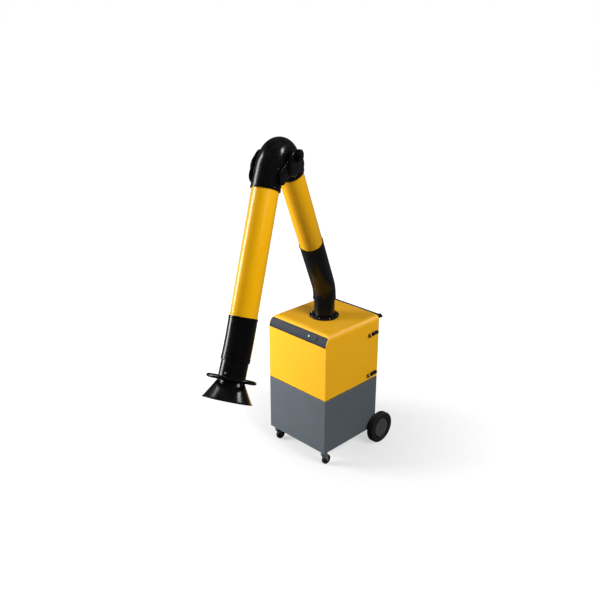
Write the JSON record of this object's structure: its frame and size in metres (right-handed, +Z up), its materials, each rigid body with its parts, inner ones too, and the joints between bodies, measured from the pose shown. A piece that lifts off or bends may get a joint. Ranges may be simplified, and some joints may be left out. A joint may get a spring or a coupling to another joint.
{
  "type": "mobile fume extraction arm",
  "caption": "Wheeled filter cabinet carrying a jointed fume extraction arm with a swivel foot, friction elbow, black hoses and a conical hood with a ring handle.",
  "frame": {"origin": "centre of the cabinet's underside", "axes": "+X to the cabinet's right as its control panel is faced from inside, -Y out of the front, +Z up"},
  "size_m": [1.103, 2.0249, 2.5817],
  "materials": {
    "casing_yellow": "gloss powder coat",
    "casing_grey": "satin powder coat",
    "panel_slate": "satin film",
    "tube_yellow": "gloss powder coat",
    "black_gloss": "gloss",
    "black_hose": "smooth gloss",
    "black_tyre": "matte",
    "hub_grey": "matte",
    "zinc_steel": "zinc plated",
    "motor_cast": "cast",
    "filter_media": "pleated media",
    "friction_fibre": "dry fibre",
    "green_lens": "clear lens"
  },
  "bodies": {
    "cabinet": {"lower_casing": "casing_grey", "upper_casing": "casing_yellow", "rear_cover": "casing_yellow", "mid_deck": "casing_grey", "control_panel": "panel_slate", "status_lamp": "green_lens", "control_module": "black_gloss", "push_handle": "black_gloss", "filter_cassette": "filter_media", "fan_motor": "motor_cast", "motor_bracket": "zinc_steel", "outlet_grille": "casing_grey", "mains_inlet": "black_gloss", "wheel_axle": "zinc_steel", "axle_bracket_left": "casing_grey", "axle_bracket_right": "casing_grey", "castor_plate_left": "zinc_steel", "castor_plate_right": "zinc_steel", "latch_base_upper": "zinc_steel", "latch_base_lower": "zinc_steel", "latch_keeper_upper": "zinc_steel", "latch_keeper_lower": "zinc_steel", "arm_flange": "black_gloss"},
    "button": {"power_button": "black_gloss"},
    "fan_rotor": {"fan_impeller": "zinc_steel"},
    "rear_wheel_left": {"rear_tyre_left": "black_tyre", "rear_hub_left": "hub_grey"},
    "rear_wheel_right": {"rear_tyre_right": "black_tyre", "rear_hub_right": "hub_grey"},
    "castor_fork_left": {"castor_fork_left": "casing_grey"},
    "castor_fork_right": {"castor_fork_right": "casing_grey"},
    "castor_wheel_left": {"castor_wheel_left": "black_tyre"},
    "castor_wheel_right": {"castor_wheel_right": "black_tyre"},
    "lever_upper": {"latch_lever_upper": "black_gloss"},
    "lever_lower": {"latch_lever_lower": "black_gloss"},
    "bail_upper": {"latch_bail_upper": "zinc_steel"},
    "bail_lower": {"latch_bail_lower": "zinc_steel"},
    "arm_base": {"swivel_collar": "black_gloss", "shoulder_bracket": "zinc_steel", "shoulder_hose": "black_hose"},
    "lower_arm": {"arm_tongue": "zinc_steel", "lower_tube": "tube_yellow", "lower_elbow_collar": "black_gloss", "elbow_hose": "black_hose", "elbow_friction_disc_left": "friction_fibre", "elbow_friction_disc_right": "friction_fibre"},
    "upper_arm": {"upper_elbow_collar": "black_gloss", "elbow_hub_left": "black_gloss", "elbow_hub_right": "black_gloss", "front_tube": "tube_yellow", "wrist_hose": "black_hose", "wrist_bracket": "zinc_steel"},
    "clamp_knob": {"elbow_knob": "black_gloss"},
    "wrist": {"hood_cuff": "black_gloss", "hood_yoke": "zinc_steel"},
    "hood": {"hood_neck": "black_gloss", "hood_cone": "black_gloss", "ring_handle": "black_gloss"},
    "damper": {"damper_plate": "zinc_steel", "damper_knob": "zinc_steel"}
  },
  "joints": [
    {"name": "button_press", "type": "slide", "parent": "cabinet", "child": "button", "axis": [0, 0.8693, -0.4943], "range_m": [0, 0.002], "stiffness_N_per_m": 500, "springref_m": -0.001},
    {"name": "fan_spin", "type": "hinge", "parent": "cabinet", "child": "fan_rotor", "pos_m": [0, 0, 0.4], "axis": [0, 0, 1], "continuous": true},
    {"name": "rear_wheel_left_roll", "type": "hinge", "parent": "cabinet", "child": "rear_wheel_left", "pos_m": [-0.338, 0.313, -0.00063], "axis": [1, 0, 0], "continuous": true},
    {"name": "castor_left_swivel", "type": "hinge", "parent": "cabinet", "child": "castor_fork_left", "pos_m": [-0.257, -0.257, 0], "axis": [0, 0, 1], "continuous": true},
    {"name": "castor_left_roll", "type": "hinge", "parent": "castor_fork_left", "child": "castor_wheel_left", "pos_m": [-0.257, -0.233, -0.09049], "axis": [1, 0, 0], "continuous": true},
    {"name": "rear_wheel_right_roll", "type": "hinge", "parent": "cabinet", "child": "rear_wheel_right", "pos_m": [0.338, 0.313, -0.00063], "axis": [1, 0, 0], "continuous": true},
    {"name": "castor_right_swivel", "type": "hinge", "parent": "cabinet", "child": "castor_fork_right", "pos_m": [0.257, -0.257, 0], "axis": [0, 0, 1], "continuous": true},
    {"name": "castor_right_roll", "type": "hinge", "parent": "castor_fork_right", "child": "castor_wheel_right", "pos_m": [0.257, -0.233, -0.09049], "axis": [1, 0, 0], "continuous": true},
    {"name": "latch_upper_open", "type": "hinge", "parent": "cabinet", "child": "lever_upper", "pos_m": [0.3085, 0.222, 0.844], "axis": [0, 0, -1], "range_deg": [0, 100]},
    {"name": "bail_upper_turn", "type": "hinge", "parent": "lever_upper", "child": "bail_upper", "pos_m": [0.3085, 0.236, 0.844], "axis": [0, 0, -1], "range_deg": [-100, 0]},
    {"name": "latch_lower_open", "type": "hinge", "parent": "cabinet", "child": "lever_lower", "pos_m": [0.3085, 0.222, 0.5], "axis": [0, 0, -1], "range_deg": [0, 100]},
    {"name": "bail_lower_turn", "type": "hinge", "parent": "lever_lower", "child": "bail_lower", "pos_m": [0.3085, 0.236, 0.5], "axis": [0, 0, -1], "range_deg": [-100, 0]},
    {"name": "arm_swivel", "type": "hinge", "parent": "cabinet", "child": "arm_base", "pos_m": [0, 0, 0.976], "axis": [0, 0, 1], "continuous": true},
    {"name": "shoulder_pitch", "type": "hinge", "parent": "arm_base", "child": "lower_arm", "pos_m": [0, 0, 1.197], "axis": [0.9265, 0.3762, 0], "range_deg": [-42, 43], "deforming": ["shoulder_hose"]},
    {"name": "elbow_pitch", "type": "hinge", "parent": "lower_arm", "child": "upper_arm", "pos_m": [0.30937, -0.76189, 2.30033], "axis": [-0.9265, -0.3762, 0], "range_deg": [-15, 92], "deforming": ["elbow_hose"]},
    {"name": "clamp_knob_turn", "type": "hinge", "parent": "upper_arm", "child": "clamp_knob", "pos_m": [0.30133, -0.74209, 2.34553], "axis": [0.9265, 0.3762, 0], "range_deg": [-180, 180]},
    {"name": "wrist_tilt", "type": "hinge", "parent": "upper_arm", "child": "wrist", "pos_m": [0.5218, -1.28503, 1.35273], "axis": [0.9265, 0.3762, 0], "range_deg": [-55.5, 64.5], "deforming": ["wrist_hose"]},
    {"name": "hood_swivel", "type": "hinge", "parent": "wrist", "child": "hood", "pos_m": [0.5218, -1.28503, 1.35273], "axis": [0.187, -0.4605, -0.8678], "continuous": true},
    {"name": "damper_turn", "type": "hinge", "parent": "hood", "child": "damper", "pos_m": [0.55968, -1.37832, 1.17692], "axis": [-0.3265, 0.804, -0.497], "range_deg": [0, 90]}
  ],
  "couplings": [
    {"joint": "bail_upper_turn", "follows": "latch_upper_open", "ratio": -1},
    {"joint": "bail_lower_turn", "follows": "latch_lower_open", "ratio": -1}
  ]
}
